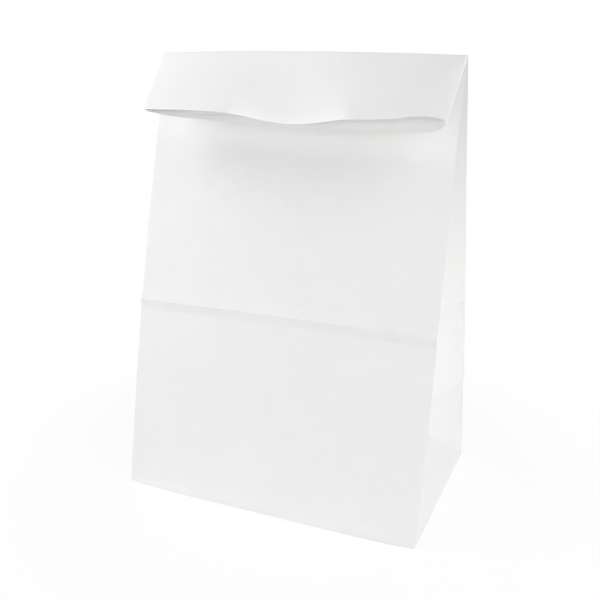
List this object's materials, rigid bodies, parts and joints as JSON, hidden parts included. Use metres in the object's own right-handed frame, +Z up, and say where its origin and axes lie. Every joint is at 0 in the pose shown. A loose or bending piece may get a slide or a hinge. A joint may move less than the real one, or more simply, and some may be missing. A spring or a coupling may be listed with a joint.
{
  "type": "self-opening paper bag",
  "caption": "White gusseted paper bag standing on a flat folded base, its top folded forward so that the open mouth hangs in front.",
  "frame": {"origin": "middle of the footprint, on the surface that the bag stands on", "axes": "+X across the front panel to its right as seen from the front, -Y out of the front panel, +Z up"},
  "size_m": [0.22, 0.1448, 0.3094],
  "materials": {
    "white_kraft_paper": "matt white bleached kraft paper"
  },
  "bodies": {
    "root": {"paper_bag": "white_kraft_paper"}
  },
  "joints": []
}
